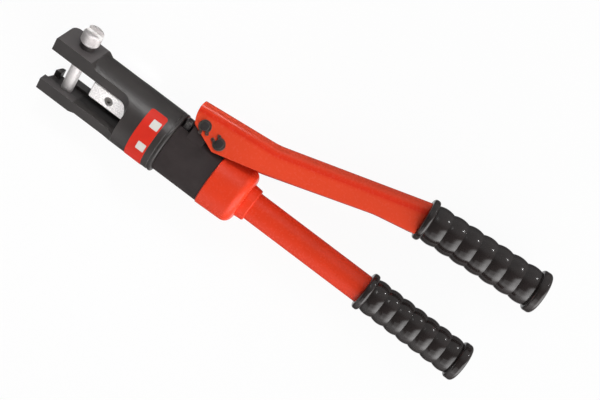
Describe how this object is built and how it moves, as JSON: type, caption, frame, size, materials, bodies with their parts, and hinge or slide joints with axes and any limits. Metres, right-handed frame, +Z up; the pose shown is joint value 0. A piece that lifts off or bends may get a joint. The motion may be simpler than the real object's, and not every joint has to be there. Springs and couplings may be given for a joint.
{
  "type": "hydraulic swaging tool",
  "caption": "Hand pumped hydraulic swaging tool: forked head with latch pin, ram, pump body, oil handle tube, pressed lever and ribbed grips.",
  "frame": {"origin": "mouth of the die socket in the ram's face, on the tool's axis, with the ram drawn back", "axes": "+X along the ram towards the fork's tip, +Z up along the lever's pins with the tool on its side, lever on the -Y side"},
  "size_m": [0.4907, 0.1489, 0.0695],
  "materials": {
    "red_paint": "gloss enamel",
    "black_finish": "satin black",
    "bright_steel": "bright",
    "grip_vinyl": "glossy dipped vinyl",
    "spring_steel": "oil tempered",
    "seal_rubber": "moulded",
    "bronze": "turned",
    "label_film": "plain film, no print"
  },
  "bodies": {
    "pump_body": {"cylinder_body": "black_finish", "head_seal": "seal_rubber", "cup_seal": "seal_rubber", "head_snap_ring": "spring_steel", "pump_gland": "bright_steel", "gland_seal": "seal_rubber", "outlet_plug": "bright_steel", "outlet_ball": "bright_steel", "outlet_spring": "spring_steel", "inlet_seat": "bright_steel", "inlet_ball": "bright_steel", "inlet_spring": "spring_steel", "relief_screw": "bright_steel", "relief_ball": "bright_steel", "relief_spring": "spring_steel", "release_ball": "bright_steel", "release_seal": "seal_rubber", "rear_cup": "red_paint", "tube_ring": "red_paint", "reservoir_tube": "red_paint", "tube_plug": "black_finish", "suction_nipple": "bronze", "oil_bladder": "seal_rubber", "bladder_clamp": "spring_steel", "fixed_grip": "grip_vinyl"},
    "head": {"head_yoke": "black_finish", "label_band": "label_film", "rod_bush": "bronze", "wiper_ring": "seal_rubber", "return_spring": "spring_steel"},
    "ram": {"ram": "bright_steel", "die_screw": "black_finish", "piston_seal": "seal_rubber", "wear_ring": "bronze"},
    "latch": {"latch_pin": "bright_steel", "latch_knob": "bright_steel"},
    "lever": {"lever_channel": "red_paint", "lever_grip": "grip_vinyl", "fulcrum_pin": "black_finish", "fulcrum_clips": "black_finish", "plunger_pin": "black_finish", "plunger_clips": "black_finish"},
    "plunger": {"pump_plunger": "bright_steel"},
    "release": {"release_knob": "black_finish"}
  },
  "joints": [
    {"name": "head_swivel", "type": "hinge", "parent": "pump_body", "child": "head", "pos_m": [-0.07, 0, 0], "axis": [1, 0, 0], "range_deg": [-180, 180]},
    {"name": "ram_slide", "type": "slide", "parent": "head", "child": "ram", "axis": [1, 0, 0], "range_m": [0, 0.014], "deforming": ["return_spring"]},
    {"name": "latch_slide", "type": "slide", "parent": "head", "child": "latch", "axis": [0, -0.7934, 0.6088], "range_m": [0, 0.05]},
    {"name": "lever_hinge", "type": "hinge", "parent": "pump_body", "child": "lever", "pos_m": [-0.1071, -0.0316, 0], "axis": [0, 0, 1], "range_deg": [-6, 40]},
    {"name": "plunger_slide", "type": "slide", "parent": "pump_body", "child": "plunger", "axis": [0, -1, 0], "range_m": [-0.0022, 0.014]},
    {"name": "release_turn", "type": "hinge", "parent": "pump_body", "child": "release", "pos_m": [-0.0936, -0.0244, 0.017], "axis": [1, 0, 0], "range_deg": [0, 180]}
  ],
  "couplings": [
    {"joint": "plunger_slide", "follows": "lever_hinge", "m_per_rad": 0.01978}
  ]
}
